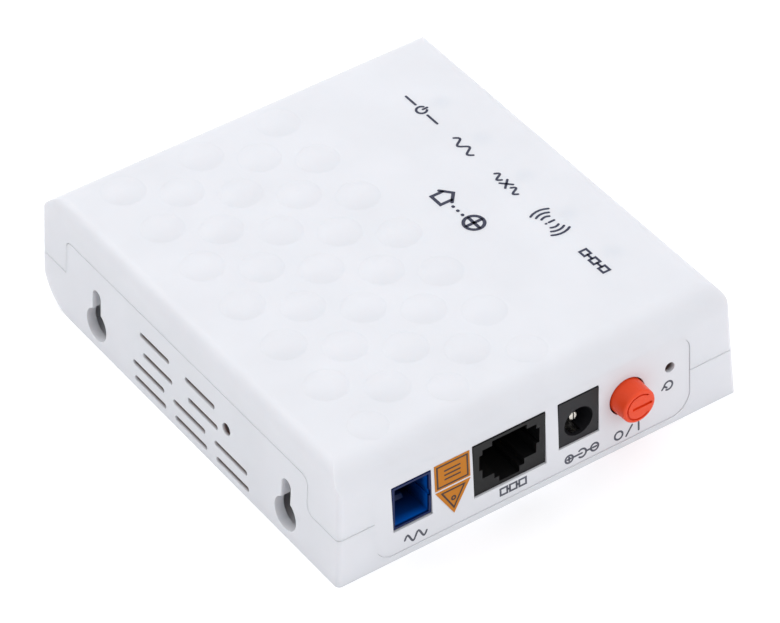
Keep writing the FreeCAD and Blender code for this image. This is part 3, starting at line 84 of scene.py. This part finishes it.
class Surface:
    """A material with one Principled shader, and short ways to vary its colour, roughness and
    relief by patterns that are fixed to the object."""

    def __init__(self, name, colour, roughness, metallic=0.0):
        self.material = bpy.data.materials.new(name)
        self.material.use_nodes = True
        self.material.diffuse_color = colour
        self.tree = self.material.node_tree
        self.shader = self.tree.nodes["Principled BSDF"]
        self.colour = colour
        self.shader.inputs["Base Color"].default_value = colour
        self.shader.inputs["Roughness"].default_value = roughness
        self.shader.inputs["Metallic"].default_value = metallic
        self.place = self.tree.nodes.new("ShaderNodeTexCoord").outputs["Object"]

    def set(self, **values):
        """Constants on the shader's own sockets, named with _ for a space."""
        for name, value in values.items():
            self.shader.inputs[name.replace("_", " ")].default_value = value
        return self

    def join(self, source, target):
        self.tree.links.new(source, target)

    def math(self, operation, first, second=None, third=None):
        """One sum or comparison of numbers and sockets."""
        node = self.tree.nodes.new("ShaderNodeMath")
        node.operation = operation
        for socket, value in zip(node.inputs, (first, second, third)):
            if value is None:
                continue
            if isinstance(value, (int, float)):
                socket.default_value = value
            else:
                self.join(value, socket)
        return node.outputs[0]

    def axis(self, letter):
        """One of the object's own coordinates, X, Y or Z, in metres."""
        node = self.tree.nodes.new("ShaderNodeSeparateXYZ")
        self.join(self.place, node.inputs[0])
        return node.outputs[letter]

    def noise(self, size, stretch=(1, 1, 1), detail=3.0):
        """Noise whose features are about size metres across, longer along a stretched axis."""
        mapping = self.tree.nodes.new("ShaderNodeMapping")
        mapping.inputs["Scale"].default_value = [1 / (size * part) for part in stretch]
        self.join(self.place, mapping.inputs["Vector"])
        node = self.tree.nodes.new("ShaderNodeTexNoise")
        node.inputs["Scale"].default_value = 1.0
        node.inputs["Detail"].default_value = detail
        self.join(mapping.outputs[0], node.inputs["Vector"])
        return node.outputs["Fac"]

    def cells(self, size):
        """The distance from the nearest of many scattered points, in shares of size."""
        node = self.tree.nodes.new("ShaderNodeTexVoronoi")
        node.inputs["Scale"].default_value = 1 / size
        self.join(self.place, node.inputs["Vector"])
        return node.outputs["Distance"]

    def ramp(self, factor, stops):
        """Colours by factor; stops are pairs of position and colour."""
        node = self.tree.nodes.new("ShaderNodeValToRGB")
        elements = node.color_ramp.elements
        while len(elements) < len(stops):
            elements.new(1.0)
        for element, (position, colour) in zip(elements, stops):
            element.position = position
            element.color = colour
        self.join(factor, node.inputs["Fac"])
        return node.outputs["Color"]

    def mix(self, factor, first, second):
        """The first colour where factor is 0 and the second where it is 1."""
        node = self.tree.nodes.new("ShaderNodeMix")
        node.data_type = "RGBA"
        factor_socket, first_socket, second_socket = (node.inputs[place] for place in (0, 6, 7))
        self.join(factor, factor_socket)
        for socket, value in ((first_socket, first), (second_socket, second)):
            if isinstance(value, tuple):
                socket.default_value = value
            else:
                self.join(value, socket)
        colour_result = node.outputs[2]
        return colour_result

    def paint(self, colour):
        """Makes a pattern the shader's colour."""
        self.join(colour, self.shader.inputs["Base Color"])
        return self

    def mottle(self, size, amount, stretch=(1, 1, 1)):
        """Lets the colour drift a little lighter and darker."""
        field = self.noise(size, stretch)
        tones = ((0.3, shade(self.colour, 1 - amount)), (0.7, shade(self.colour, 1 + amount)))
        self.tone = self.ramp(field, tones)
        return self.paint(self.tone)

    def uneven(self, size, low, high, stretch=(1, 1, 1)):
        """Lets the roughness drift between two values."""
        node = self.tree.nodes.new("ShaderNodeMapRange")
        node.inputs["From Min"].default_value = 0.3
        node.inputs["From Max"].default_value = 0.7
        node.inputs["To Min"].default_value = low
        node.inputs["To Max"].default_value = high
        self.join(self.noise(size, stretch), node.inputs["Value"])
        self.join(node.outputs[0], self.shader.inputs["Roughness"])
        return self

    def relief(self, height, depth):
        """Bumps of a real depth in metres, from a height field of 0 to 1."""
        node = self.tree.nodes.new("ShaderNodeBump")
        node.inputs["Strength"].default_value = 1.0
        node.inputs["Distance"].default_value = depth
        self.join(height, node.inputs["Height"])
        self.join(node.outputs[0], self.shader.inputs["Normal"])
        return self


def dress(surface, *names):
    """Gives one material to CAD nodes; their shapes and smooth shading stay as the frame has them."""
    for name in names:
        mesh = nodes[name].data
        mesh.materials.clear()
        mesh.materials.append(surface.material)


# ---------------------------------------------------------------- plastics

def moulded(name, colour, roughness, grain=0.35 * MM, depth=0.004 * MM, drift=0.02):
    """Injection-moulded plastic: a fine even texture, faint flow tones and uneven gloss."""
    surface = Surface(name, colour, roughness)
    surface.mottle(14 * MM, drift)
    surface.uneven(9 * MM, roughness - 0.05, roughness + 0.05)
    surface.relief(surface.noise(grain, detail=2.0), depth)
    return surface


def lamp_pitch():
    """The spacing of the rows of status marks, from the reach of the lamps."""
    low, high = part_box("status_leds")
    return (high.y - low.y) / (LAMP_COUNT - 1)


def cover_plastic(name):
    """The shells' white plastic, with a few specks of dust and cool spots over the lamps."""
    white = srgb(217, 218, 223)
    surface = moulded(name, white, 0.5)
    surface.set(Specular_IOR_Level=0.35, Subsurface_Weight=0.4, Subsurface_Scale=2.5 * MM,
                Subsurface_Radius=(1.0, 0.85, 0.8))
    low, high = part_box("status_leds")
    column = (low.x + high.x) / 2
    pitch = lamp_pitch()
    spot_radius = 2.6 * MM
    spot_strength = 0.06
    y = surface.axis("Y")
    across = surface.math("SUBTRACT", surface.axis("X"), column)
    along = surface.math("PINGPONG", y, pitch / 2)
    distance = surface.math("SQRT", surface.math(
        "ADD", surface.math("POWER", across, 2.0), surface.math("POWER", along, 2.0)))
    in_the_row = surface.math("LESS_THAN", surface.math("ABSOLUTE", y), pitch * (LAMP_COUNT / 2 - 0.1))
    spot = surface.math("SUBTRACT", 1.0, surface.math("DIVIDE", distance, spot_radius))
    spot = surface.math("MULTIPLY", surface.math("MAXIMUM", spot, 0.0), in_the_row)
    spot = surface.math("MULTIPLY", spot, spot_strength)
    cooled = surface.mix(spot, surface.tone, srgb(150, 165, 205))
    dust_spacing, dust_radius = 15 * MM, 0.006
    dust = surface.math("LESS_THAN", surface.cells(dust_spacing), dust_radius)
    surface.paint(surface.mix(dust, cooled, srgb(168, 166, 164)))
    return surface


def shade_openings(surface, depth, start, end):
    """Warm shade on what lies deeper than start behind the outer face, full at end: light reaches
    the sides of the narrow openings only through the plastic."""
    node = surface.tree.nodes.new("ShaderNodeMapRange")
    node.inputs["From Min"].default_value = start
    node.inputs["From Max"].default_value = end
    surface.join(depth, node.inputs["Value"])
    base = surface.shader.inputs["Base Color"].links[0].from_socket
    surface.paint(surface.mix(node.outputs[0], base, srgb(112, 88, 82)))
    return surface


def lower_case_plastic():
    """The shells' plastic, shaded inside the vents of the left wall and nowhere else."""
    surface = cover_plastic("lower_shell")
    vents_reach, underside_top, wall_back = 24 * MM, 1 * MM, 3 * MM
    z = surface.axis("Z")
    face = surface.math("MULTIPLY_ADD", z, SIDE_SLOPE, cad_bounds[0].x)
    depth = surface.math("SUBTRACT", surface.axis("X"), face)
    vents = surface.math("COMPARE", surface.axis("Y"), 0.0, vents_reach)
    above_the_underside = surface.math("GREATER_THAN", z, underside_top)
    in_the_wall = surface.math("LESS_THAN", depth, wall_back)
    vents = surface.math("MULTIPLY", vents, surface.math("MULTIPLY", above_the_underside, in_the_wall))
    return shade_openings(surface, surface.math("MULTIPLY", depth, vents), 0.15 * MM, 0.7 * MM)


def panel_plastic():
    """The port panel's plastic, shaded inside the pinhole."""
    surface = moulded("white_panel", srgb(217, 218, 223), 0.5)
    surface.set(Specular_IOR_Level=0.35)
    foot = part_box("lower_case")[0].y + PANEL_RECESS
    face = surface.math("MULTIPLY_ADD", surface.axis("Z"), FRONT_SLOPE, foot)
    depth = surface.math("SUBTRACT", surface.axis("Y"), face)
    return shade_openings(surface, depth, 0.3 * MM, 1.2 * MM)


def receptacle_plastic():
    """Blue plastic with painted shade: darker towards the bottom of the fibre port, and a painted band
    of shade on its rim.
    """
    surface = moulded("port_blue", srgb(0, 92, 190), 0.36).set(Specular_IOR_Level=0.25)
    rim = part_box("sc_receptacle")[0].y
    darkest_depth = 8 * MM
    depth = surface.math("DIVIDE", surface.math("SUBTRACT", surface.axis("Y"), rim), darkest_depth)
    # painted shade: dark on the rim, full colour just inside, then darker the deeper into the port
    painted_shade_stops = ((0.05, srgb(80, 84, 104)), (0.08, srgb(255, 255, 255)), (0.3, srgb(150, 150, 160)),
              (1.0, srgb(36, 36, 54)))
    node = surface.tree.nodes.new("ShaderNodeVectorMath")
    node.operation = "MULTIPLY"
    surface.join(surface.tone, node.inputs[0])
    surface.join(surface.ramp(depth, painted_shade_stops), node.inputs[1])
    return surface.paint(node.outputs[0])


def board_material():
    """Green solder resist over copper tracks, with bare pads."""
    resist = srgb(22, 92, 52)
    surface = Surface("board_green", resist, 0.3)
    surface.mottle(6 * MM, 0.08)
    lane_width, track_half_width = 0.6 * MM, 0.22 * MM
    pad_spacing, pad_radius = 3.2 * MM, 0.13
    bend = surface.math("MULTIPLY", surface.noise(12 * MM, detail=0.0), 9 * MM)
    diagonal = surface.math("ADD", surface.axis("X"), surface.axis("Y"))
    lane = surface.math("PINGPONG", surface.math("ADD", diagonal, bend), lane_width)
    track = surface.math("LESS_THAN", lane, track_half_width)
    pad = surface.math("LESS_THAN", surface.cells(pad_spacing), pad_radius)
    tracks = surface.mix(track, surface.tone, srgb(40, 122, 70))
    surface.paint(surface.mix(pad, tracks, srgb(196, 190, 168)))
    surface.relief(track, 0.03 * MM)
    return surface


def bare_metal(name, colour, roughness, stretch=(1, 1, 1)):
    """Plated or drawn metal with fine scratches, longer along a stretched axis."""
    surface = Surface(name, colour, roughness, metallic=1.0)
    surface.mottle(3 * MM, 0.06, stretch)
    surface.uneven(1.5 * MM, roughness - 0.06, roughness + 0.08, stretch)
    surface.relief(surface.noise(0.2 * MM, stretch), 0.004 * MM)
    return surface


def capacitor_material():
    """Bare aluminium cans with a dark half-round mark on the end."""
    surface = bare_metal("capacitor_can", srgb(198, 200, 204), 0.3)
    can_radius, mark_reach, end_depth = 3.1 * MM, 1.5 * MM, 0.3 * MM
    end_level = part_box("filter_capacitors")[0].z + end_depth
    ends = surface.math("LESS_THAN", surface.axis("Z"), end_level)
    side = surface.math("LESS_THAN", surface.math("PINGPONG", surface.axis("X"), can_radius), mark_reach)
    surface.paint(surface.mix(surface.math("MULTIPLY", ends, side), surface.tone, srgb(40, 40, 44)))
    return surface


def label_material():
    """A blank paper label with a thin printed border."""
    surface = moulded("label_paper", srgb(226, 226, 222), 0.6, grain=0.25 * MM, depth=0.01 * MM)
    low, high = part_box("rating_label")
    inner_margin, outer_margin = 1.6 * MM, 1.2 * MM
    middle = (low.y + high.y) / 2
    across = surface.math("ABSOLUTE", surface.axis("X"))
    along = surface.math("ABSOLUTE", surface.math("SUBTRACT", surface.axis("Y"), middle))
    half_width, half_length = high.x, (high.y - low.y) / 2
    past = surface.math("MAXIMUM", surface.math("GREATER_THAN", across, half_width - inner_margin),
                        surface.math("GREATER_THAN", along, half_length - inner_margin))
    within = surface.math("MULTIPLY", surface.math("LESS_THAN", across, half_width - outer_margin),
                          surface.math("LESS_THAN", along, half_length - outer_margin))
    border = surface.math("MULTIPLY", past, within)
    surface.paint(surface.mix(border, surface.tone, srgb(120, 122, 128)))
    return surface


def dress_frame():
    """Every CAD node gets its material."""
    dress(cover_plastic("upper_shell"), "upper_cover")
    dress(lower_case_plastic(), "lower_case")
    dress(panel_plastic(), "port_panel")
    sticker_orange = moulded("sticker_orange", srgb(188, 114, 10), 0.5, grain=0.5 * MM)
    dress(sticker_orange.set(Specular_IOR_Level=0.25), "port_sticker")
    dress(label_material(), "rating_label")
    dress(receptacle_plastic(), "sc_receptacle", "sc_latch")
    matt_black = moulded("port_black", srgb(14, 14, 15), 0.46)
    dress(matt_black.set(Specular_IOR_Level=0.25), "lan_jack_housing")
    inlet_grey = moulded("inlet_grey", srgb(24, 24, 28), 0.46)
    dress(inlet_grey.set(Specular_IOR_Level=0.3), "power_jack_housing")
    button_orange = moulded("button_orange", srgb(226, 68, 26), 0.4)
    dress(button_orange.set(Specular_IOR_Level=0.3), "power_button_cap")
    dress(moulded("stem_white", srgb(226, 222, 208), 0.45), "power_button_stem")
    dress(moulded("switch_black", srgb(30, 30, 32), 0.5), "power_switch_body", "reset_switch_body",
          "reset_plunger")
    dress(moulded("zirconia_white", srgb(240, 236, 228), 0.12, depth=0.001 * MM), "alignment_sleeve")
    dress_electronics()
    dress_metals()


def dress_electronics():
    """The board and what is soldered to it."""
    dress(board_material(), "circuit_board")
    dress(moulded("chip_black", srgb(34, 34, 36), 0.55, grain=0.15 * MM, depth=0.01 * MM),
          "processor_chip", "memory_chip", "flash_chip", "laser_driver_chip", "regulator_chips",
          "lan_transformer")
    dress(moulded("ferrite_grey", srgb(62, 62, 64), 0.6, depth=0.01 * MM), "power_inductors")
    dress(moulded("ceramic_tan", srgb(176, 140, 104), 0.45), "ceramic_capacitors")
    dress(moulded("pad_grey", srgb(140, 150, 166), 0.8, depth=0.02 * MM), "thermal_pad")
    dress(moulded("led_resin", srgb(240, 232, 190), 0.15), "status_leds")
    dress(capacitor_material(), "filter_capacitors")


def dress_metals():
    """Screws, pins, cans and springs, with scratches along each piece's own length."""
    across, along, upright = (12, 1, 1), (1, 12, 1), (1, 1, 12)
    dress(bare_metal("zinc_steel", srgb(168, 170, 176), 0.34), "case_screws", "board_screws")
    dress(bare_metal("tinned_metal", srgb(200, 200, 198), 0.32, across), "crystal_can",
          "lan_transformer_leads", "power_jack_lugs", "power_switch_frame", "power_switch_pins",
          "reset_switch_frame", "reset_switch_pins")
    dress(bare_metal("black_aluminium", srgb(52, 52, 56), 0.42, along), "heat_sink")
    dress(bare_metal("nickel_metal", srgb(214, 210, 202), 0.22, along), "power_jack_pin",
          "power_jack_spring", "optical_body")
    dress(bare_metal("gold_metal", srgb(222, 180, 98), 0.24, upright), "lan_jack_contacts",
          "optics_pins", "laser_can", "detector_can")
    dress(bare_metal("spring_steel", srgb(176, 176, 178), 0.3), "power_switch_spring",
          "reset_snap_dome")


# ---------------------------------------------------------------- printed marks

# A mark is a list of pen strokes, and a stroke is its points in millimetres and whether it is closed.

def arc(x, y, radius, start, end):
    """Points of an arc between two angles in degrees."""
    steps = max(4, int(abs(end - start) / 12))
    angles = [math.radians(start + (end - start) * step / steps) for step in range(steps + 1)]
    return [(x + radius * math.cos(angle), y + radius * math.sin(angle)) for angle in angles]


def ring(x, y, radius):
    """Points of a circle for a closed stroke: the last one stops a step short of the first."""
    return arc(x, y, radius, 0, 345)


def square(x, y, half):
    """The corners of a square about (x, y), reaching half to each side."""
    return [(x - half, y - half), (x + half, y - half), (x + half, y + half), (x - half, y + half)]


def wave(length, height, turns):
    """A sine wave centred on the origin."""
    steps = 12 * turns
    return [(length * (step / steps - 0.5), height * math.sin(2 * math.pi * turns * step / steps))
            for step in range(steps + 1)]


def shifted(strokes, x, y=0.0):
    """The same strokes, moved."""
    return [([(a + x, b + y) for a, b in points], closed) for points, closed in strokes]


def power_mark():
    """The usual sign for power, a ring open at the top with a bar in it, between two lines."""
    radius = 1.05
    sign = [(arc(0, 0, radius, 125, 415), False), ([(0, radius * 0.3), (0, radius * 1.25)], False)]
    lines = [([(-5.2, 0), (-2.0, 0)], False), ([(2.0, 0), (5.2, 0)], False)]
    return sign + lines


def fibre_mark(length):
    """Light in a fibre, as a wave."""
    return [(wave(length, 0.85, 2), False)]


def lost_signal_mark():
    """A wave broken by a cross."""
    cross = [([(-0.9, -0.9), (0.9, 0.9)], False), ([(-0.9, 0.9), (0.9, -0.9)], False)]
    side = [(wave(2.3, 0.75, 1), False)]
    return cross + shifted(side, -2.6) + shifted(side, 2.6)


def alarm_mark():
    """An exclamation mark with waves to both sides."""
    strokes = [([(0, 0.95), (0, -0.25)], False), ([(0, -0.85), (0, -0.95)], False)]
    for radius in (1.7, 2.8, 3.9):
        strokes.append((arc(0, 0, radius, -32, 32), False))
        strokes.append((arc(0, 0, radius, 148, 212), False))
    return strokes


def network_mark(pitch):
    """Three linked boxes."""
    boxes = [(square(x, 0, 0.75), True) for x in (-pitch, 0, pitch)]
    links = [([(x - pitch + 0.75, 0), (x - 0.75, 0)], False) for x in (0, pitch)]
    return boxes + links


def polarity_mark():
    """The usual sign for a plug whose centre is positive."""
    minus = [(ring(-2.9, 0, 0.85), True), ([(-3.3, 0), (-2.5, 0)], False)]
    plus = [(ring(2.9, 0, 0.85), True), ([(2.5, 0), (3.3, 0)], False),
            ([(2.9, -0.4), (2.9, 0.4)], False)]
    centre = [(arc(0, 0, 0.95, 50, 310), False), ([(-2.05, 0), (-0.95, 0)], False),
              ([(0, 0), (2.05, 0)], False)]
    return minus + plus + centre


def switch_mark():
    """A bar for on and a ring for off."""
    return [([(-2.2, -0.9), (-2.2, 0.9)], False), ([(-0.7, -1.0), (0.7, 1.0)], False),
            (ring(2.4, 0, 0.9), True)]


def restart_mark():
    """An arrow that goes round."""
    return [(arc(0, 0, 0.95, 60, 360), False), ([(0.35, 0.35), (0.95, -0.1), (1.45, 0.45)], False)]


def emblem():
    """A house and a globe, joined by dots: the network comes home."""
    house = [([(-6.6, 0.2), (-4.5, 2.0), (-2.4, 0.2)], False),
             ([(-6.0, 0.5), (-6.0, -2.0), (-3.0, -2.0), (-3.0, 0.5)], False)]
    dots = [([(x - 0.05, -0.4), (x + 0.05, -0.4)], False) for x in (-1.2, 0.3, 1.8)]
    globe = [(ring(4.9, 0, 2.0), True), ([(3.2, 0), (6.6, 0)], False),
             ([(4.9, -1.7), (4.9, 1.7)], False)]
    return house + dots + globe


def stroke_outline(points, width, closed):
    """The two edges of a pen stroke, to the left and the right of its points."""
    path = [Vector(point) for point in points]
    count = len(path)
    left, right = [], []
    for index, point in enumerate(path):
        before = path[index - 1] if closed or index else None
        after = path[(index + 1) % count] if closed or index < count - 1 else None
        arrive = (point - before).normalized() if before is not None else (after - point).normalized()
        leave = (after - point).normalized() if after is not None else arrive
        along = (arrive + leave).normalized()
        reach = width / 2 / max(0.5, along.dot(arrive))
        across = Vector((-along.y, along.x)) * reach
        left.append(point + across)
        right.append(point - across)
    return left, right


def round_end(centre, start, width):
    """The points of a half circle from start, clockwise round the centre."""
    steps = 6
    first = math.atan2(start.y - centre.y, start.x - centre.x)
    angles = [first - math.pi * step / steps for step in range(1, steps)]
    return [centre + Vector((math.cos(angle), math.sin(angle))) * (width / 2) for angle in angles]


def add_stroke(mesh, points, width, closed, to_world):
    """Adds one flat pen stroke to the mesh; to_world turns flat millimetres into places on the face."""
    left, right = stroke_outline(points, width, closed)
    if closed:
        outer = [mesh.verts.new(to_world(point)) for point in left]
        inner = [mesh.verts.new(to_world(point)) for point in right]
        for index in range(len(outer)):
            after = (index + 1) % len(outer)
            mesh.faces.new((outer[index], inner[index], inner[after], outer[after]))
        return
    head = round_end(Vector(points[-1]), left[-1], width)
    tail = round_end(Vector(points[0]), right[0], width)
    boundary = left + head + right[::-1] + tail
    mesh.faces.new([mesh.verts.new(to_world(point)) for point in boundary])


def printed(name, strokes, width, origin, right, up, surface, body="housing"):
    """A thin layer of ink on a flat face, sunk into it by a third. The pen's width is in millimetres,
    origin is on the face, and right and up lie in it."""
    origin, right, up = Vector(origin), Vector(right), Vector(up).normalized()
    normal = right.cross(up)
    base = origin - normal * INK_THICK / 3
    mesh = bmesh.new()
    for points, closed in strokes:
        add_stroke(mesh, points, width, closed, lambda p: base + (right * p.x + up * p.y) * MM)
    grown = bmesh.ops.extrude_face_region(mesh, geom=mesh.faces[:])
    risen = [item for item in grown["geom"] if isinstance(item, bmesh.types.BMVert)]
    bmesh.ops.translate(mesh, verts=risen, vec=normal * INK_THICK)
    bmesh.ops.recalc_face_normals(mesh, faces=mesh.faces[:])
    data = bpy.data.meshes.new(name)
    mesh.to_mesh(data)
    mesh.free()
    data.materials.append(surface.material)
    piece = bpy.data.objects.new(name, data)
    bpy.context.scene.collection.objects.link(piece)
    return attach(piece, body)


def ink(name, colour):
    """Pad-printed ink, slightly patchy."""
    return moulded(name, colour, 0.5, grain=0.2 * MM, depth=0.003 * MM, drift=0.12)


def print_top():
    """Pictograms beside the lamps and an emblem in the middle of the flat area."""
    navy = ink("navy_ink", srgb(38, 42, 66))
    pitch = lamp_pitch() / MM
    top = cad_bounds[1].z - DOME_RISE
    marks = (power_mark(), fibre_mark(6.4), lost_signal_mark(), alarm_mark(), network_mark(2.9))
    strokes = []
    for row, mark in enumerate(marks):
        strokes += shifted(mark, pitch * (row - (LAMP_COUNT - 1) / 2))
    right, up = (0, -1, 0), (1, 0, 0)
    status_place = (28.4 * MM, 0, top)
    emblem_place = (16.8 * MM, -0.8 * MM, top)
    status_pen, emblem_pen = 0.5, 0.7
    printed("status_marks", strokes, status_pen, status_place, right, up, navy)
    printed("top_emblem", emblem(), emblem_pen, emblem_place, right, up, navy)


def print_panel():
    """Pictograms under the ports and the pinhole, the wrong way up as on the real box. Their places
    are x and z in millimetres."""
    grey = ink("grey_ink", srgb(74, 76, 88))
    foot = (0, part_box("lower_case")[0].y + PANEL_RECESS, 0)
    right, up = (-1, 0, 0), (0, -FRONT_SLOPE, -1)
    places = (
        (fibre_mark(4.8), -27.7, 3.3), (network_mark(2.1), -6.1, 3.45), (polarity_mark(), 9.4, 3.3),
        (switch_mark(), 20.2, 3.1), (restart_mark(), 29.3, 9.2))
    strokes = []
    for mark, x, z in places:
        strokes += shifted(mark, -x, -z)
    pen = 0.42
    printed("port_marks", strokes, pen, foot, right, up, grey)


def print_sticker():
    """A dark border round both parts of the sticker, plain lines and a plain dot."""
    brown = ink("brown_ink", srgb(58, 36, 20))
    low, high = (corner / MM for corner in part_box("port_sticker"))
    middle = (low.x + high.x) / 2
    foot = (0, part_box("lower_case")[0].y + PANEL_RECESS - STICKER_THICK, 0)
    inset, corner_inset, bar_inset = 0.55, 1.4, 2.2
    split, triangle_top, dot_level = 11.0, 9.9, 7.8
    border = [(low.x + inset, split + inset), (high.x - inset, split + inset),
              (high.x - inset, high.z - inset), (low.x + inset, high.z - inset)]
    triangle = [(low.x + corner_inset, triangle_top), (middle, low.z + corner_inset),
                (high.x - corner_inset, triangle_top)]
    bars = [([(low.x + bar_inset, level), (high.x - bar_inset, level)], False)
            for level in (12.9, 13.9, 14.9)]
    strokes = [(border, True), (triangle, True), *bars, (ring(middle, dot_level, 0.4), True)]
    right, up = (1, 0, 0), (0, FRONT_SLOPE, 1)
    pen = 0.36
    printed("sticker_print", strokes, pen, foot, right, up, brown)


# ---------------------------------------------------------------- studio

def floor():
    """A plain pale floor, far wider than the view."""
    bpy.ops.mesh.primitive_plane_add(size=12)
    plane = bpy.context.object
    plane.name = "studio_floor"
    surface = Surface("floor_paper", srgb(250, 250, 251), 0.9)
    surface.mottle(0.4, 0.006)
    surface.set(Emission_Color=srgb(255, 255, 255), Emission_Strength=0.14)
    plane.data.materials.append(surface.material)


def area_light(name, place, power, width):
    """A round soft light, aimed at the middle of the box."""
    data = bpy.data.lights.new(name, "AREA")
    data.shape = "DISK"
    data.size = width
    data.energy = power
    light = bpy.data.objects.new(name, data)
    bpy.context.scene.collection.objects.link(light)
    light.location = place
    middle = Vector((0, 0, 12 * MM))
    light.rotation_euler = (middle - Vector(place)).to_track_quat("-Z", "Y").to_euler()


def studio():
    """A pale sky that is brightest overhead, with one light behind and one in front."""
    world = bpy.data.worlds.new("studio_world")
    world.use_nodes = True
    tree = world.node_tree
    direction = tree.nodes.new("ShaderNodeTexCoord")
    split = tree.nodes.new("ShaderNodeSeparateXYZ")
    tree.links.new(direction.outputs["Generated"], split.inputs[0])
    ramp = tree.nodes.new("ShaderNodeValToRGB")
    tree.links.new(split.outputs["Z"], ramp.inputs["Fac"])
    horizon, overhead = (0.0, 0.28), (0.85, 1.2)  # height and brightness
    for element, (height, tone) in zip(ramp.color_ramp.elements, (horizon, overhead)):
        element.position = height
        element.color = (0.985 * tone, 0.99 * tone, tone, 1.0)
    background = tree.nodes["Background"]
    tree.links.new(ramp.outputs["Color"], background.inputs["Color"])
    background.inputs["Strength"].default_value = 1.0
    bpy.context.scene.world = world
    area_light("key_light", (-0.15, 0.95, 1.0), power=5.4, width=0.8)
    area_light("fill_light", (0.9, -1.0, 0.6), power=4.0, width=1.0)
    bpy.context.scene.view_settings.view_transform = "Standard"


def camera():
    """A long lens from above the front left corner, tipped a little about its own axis."""
    data = bpy.data.cameras.new("camera")
    data.sensor_width = 36.0
    data.lens = 208.5
    data.clip_start = 0.05
    data.clip_end = 50.0
    item = bpy.data.objects.new("camera", data)
    bpy.context.scene.collection.objects.link(item)
    azimuth, elevation, tip = (math.radians(angle) for angle in CAMERA_ANGLES)
    back = Vector((math.sin(azimuth) * math.cos(elevation),
                   -math.cos(azimuth) * math.cos(elevation), math.sin(elevation)))
    turn = (-back).to_track_quat("-Z", "Y").to_matrix() @ Matrix.Rotation(tip, 3, "Z")
    item.matrix_world = Matrix.Translation(CAMERA_PLACE) @ turn.to_4x4()
    bpy.context.scene.camera = item


dress_frame()
print_top()
print_panel()
print_sticker()
floor()
studio()
camera()
